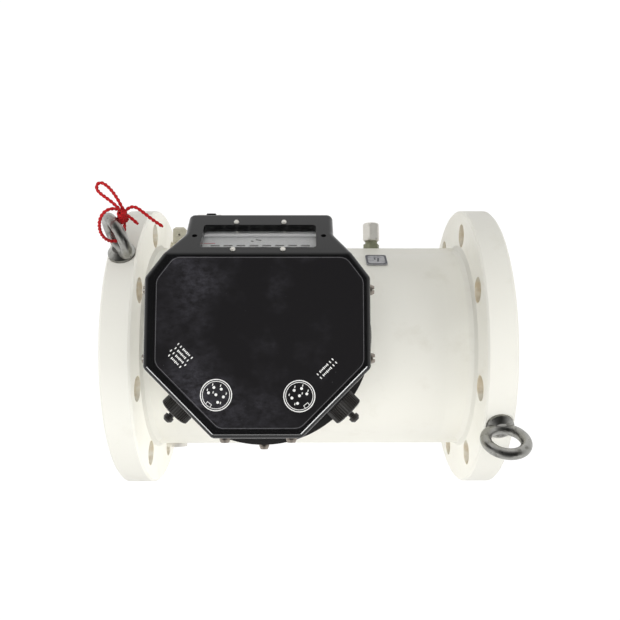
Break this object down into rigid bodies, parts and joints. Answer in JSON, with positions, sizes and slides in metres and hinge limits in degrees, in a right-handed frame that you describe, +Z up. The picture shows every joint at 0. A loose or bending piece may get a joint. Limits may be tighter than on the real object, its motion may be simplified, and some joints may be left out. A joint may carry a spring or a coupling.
{
  "type": "turbine gas meter",
  "caption": "Flanged in-line turbine gas meter: cream casting, bladed rotor cartridge, swivelling black index head with number drums, lifting eyes and a red tie cord.",
  "frame": {"origin": "centre of the inlet sealing face, on the line axis", "axes": "+X along the gas flow from inlet to outlet, reading window towards -Y, +Z up through the index head"},
  "size_m": [0.3064, 0.2286, 0.3108],
  "materials": {
    "cream_casting": "gloss",
    "bare_aluminium": "satin",
    "grey_plastic": "matte",
    "steel": "satin",
    "zinc_steel": "satin",
    "brass": "satin",
    "seal_rubber": "matte",
    "black_base": "satin",
    "black_hood": "gloss",
    "label_film": "satin",
    "clear_pane": "polished",
    "white_plate": "matte",
    "bare_tap_plate": "satin",
    "drum_plastic": "matte",
    "socket_black": "satin",
    "cap_plastic": "satin",
    "red_cord": "matte"
  },
  "bodies": {
    "meter": {"meter_body": "cream_casting", "inlet_flange_ring": "cream_casting", "outlet_flange_ring": "cream_casting", "cartridge_liner": "bare_aluminium", "retaining_ring": "steel", "flow_straightener": "grey_plastic", "rotor_bearings": "steel", "gear_housing": "bare_aluminium", "tail_cone": "bare_aluminium", "gear_frame": "brass", "coupling_flange": "bare_aluminium", "coupling_seal": "seal_rubber", "coupling_screws": "steel", "column_bush": "brass", "swivel_clip": "steel", "pressure_fitting": "brass", "pressure_cap_nut": "steel", "tap_plate": "bare_tap_plate", "sealing_plug": "steel", "flat_plug": "steel", "lifting_eyes": "zinc_steel", "tie_loop": "red_cord", "tie_bow": "red_cord", "tie_tail_long": "red_cord", "tie_tail_short": "red_cord", "tie_knot": "red_cord"},
    "rotor": {"turbine_rotor": "bare_aluminium", "rotor_shaft": "steel", "rotor_nut": "steel"},
    "lay": {"lay_shaft": "steel", "lay_gears": "brass"},
    "column": {"column_shaft": "steel", "change_gear": "brass", "drive_magnet": "steel"},
    "head": {"head_base": "black_base", "hood": "black_hood", "label_plate": "label_film", "hood_screws": "steel", "lock_screw": "brass", "window_pane": "clear_pane", "window_clamp": "grey_plastic", "window_screws": "steel", "face_plate": "white_plate", "index_chassis": "bare_aluminium", "drum_shaft": "steel", "signal_sockets": "socket_black"},
    "index_drive": {"follower_magnet": "steel", "index_shaft": "steel"},
    "cross": {"cross_shaft": "steel"},
    "idler": {"idler_gear": "brass"},
    "left_cap": {"dust_cap_left": "cap_plastic"},
    "right_cap": {"dust_cap_right": "cap_plastic"},
    "drum_1": {"number_drum_1": "drum_plastic"},
    "drum_2": {"number_drum_2": "drum_plastic"},
    "drum_3": {"number_drum_3": "drum_plastic"},
    "drum_4": {"number_drum_4": "drum_plastic"},
    "drum_5": {"number_drum_5": "drum_plastic"},
    "drum_6": {"number_drum_6": "drum_plastic"},
    "drum_7": {"number_drum_7": "drum_plastic"},
    "drum_8": {"number_drum_8": "drum_plastic"}
  },
  "joints": [
    {"name": "rotor_spin", "type": "hinge", "parent": "meter", "child": "rotor", "pos_m": [0.099, 0, 0], "axis": [1, 0, 0], "continuous": true},
    {"name": "lay_spin", "type": "hinge", "parent": "meter", "child": "lay", "pos_m": [0.181, 0.015, 0], "axis": [0, 0, 1], "continuous": true},
    {"name": "column_spin", "type": "hinge", "parent": "meter", "child": "column", "pos_m": [0.181, 0, 0.05], "axis": [0, 0, 1], "continuous": true},
    {"name": "head_swivel", "type": "hinge", "parent": "meter", "child": "head", "pos_m": [0.181, 0, 0.12], "axis": [0, 0, 1], "range_deg": [-175, 175]},
    {"name": "index_spin", "type": "hinge", "parent": "head", "child": "index_drive", "pos_m": [0.181, 0, 0.14], "axis": [0, 0, 1], "continuous": true},
    {"name": "cross_spin", "type": "hinge", "parent": "head", "child": "cross", "pos_m": [0.181, -0.012, 0.143], "axis": [1, 0, 0], "continuous": true},
    {"name": "idler_spin", "type": "hinge", "parent": "head", "child": "idler", "pos_m": [0.215, -0.02551, 0.15828], "axis": [1, 0, 0], "continuous": true},
    {"name": "drum_1_spin", "type": "hinge", "parent": "head", "child": "drum_1", "pos_m": [0.20949, -0.04279, 0.16666], "axis": [1, 0, 0], "continuous": true},
    {"name": "drum_2_spin", "type": "hinge", "parent": "head", "child": "drum_2", "pos_m": [0.20135, -0.04279, 0.16666], "axis": [1, 0, 0], "continuous": true},
    {"name": "drum_3_spin", "type": "hinge", "parent": "head", "child": "drum_3", "pos_m": [0.19321, -0.04279, 0.16666], "axis": [1, 0, 0], "continuous": true},
    {"name": "drum_4_spin", "type": "hinge", "parent": "head", "child": "drum_4", "pos_m": [0.18507, -0.04279, 0.16666], "axis": [1, 0, 0], "continuous": true},
    {"name": "drum_5_spin", "type": "hinge", "parent": "head", "child": "drum_5", "pos_m": [0.17693, -0.04279, 0.16666], "axis": [1, 0, 0], "continuous": true},
    {"name": "drum_6_spin", "type": "hinge", "parent": "head", "child": "drum_6", "pos_m": [0.16879, -0.04279, 0.16666], "axis": [1, 0, 0], "continuous": true},
    {"name": "drum_7_spin", "type": "hinge", "parent": "head", "child": "drum_7", "pos_m": [0.16065, -0.04279, 0.16666], "axis": [1, 0, 0], "continuous": true},
    {"name": "drum_8_spin", "type": "hinge", "parent": "head", "child": "drum_8", "pos_m": [0.15251, -0.04279, 0.16666], "axis": [1, 0, 0], "continuous": true},
    {"name": "left_cap_off", "type": "slide", "parent": "head", "child": "left_cap", "axis": [-0.7071, 0.7071, 0], "range_m": [0, 0.03]},
    {"name": "right_cap_off", "type": "slide", "parent": "head", "child": "right_cap", "axis": [0.7071, 0.7071, 0], "range_m": [0, 0.03]}
  ],
  "couplings": [
    {"joint": "lay_spin", "follows": "rotor_spin", "ratio": -0.05},
    {"joint": "column_spin", "follows": "rotor_spin", "ratio": 0.05},
    {"joint": "index_spin", "follows": "rotor_spin", "ratio": 0.05},
    {"joint": "cross_spin", "follows": "rotor_spin", "ratio": -0.0025},
    {"joint": "idler_spin", "follows": "rotor_spin", "ratio": 0.0020536},
    {"joint": "drum_1_spin", "follows": "rotor_spin", "ratio": -0.002875},
    {"joint": "drum_2_spin", "follows": "rotor_spin", "ratio": -0.0002875},
    {"joint": "drum_3_spin", "follows": "rotor_spin", "ratio": -0.00002875},
    {"joint": "drum_4_spin", "follows": "rotor_spin", "ratio": -0.000002875},
    {"joint": "drum_5_spin", "follows": "rotor_spin", "ratio": -0.0000002875},
    {"joint": "drum_6_spin", "follows": "rotor_spin", "ratio": -0.00000002875},
    {"joint": "drum_7_spin", "follows": "rotor_spin", "ratio": -0.000000002875},
    {"joint": "drum_8_spin", "follows": "rotor_spin", "ratio": -0.0000000002875}
  ]
}
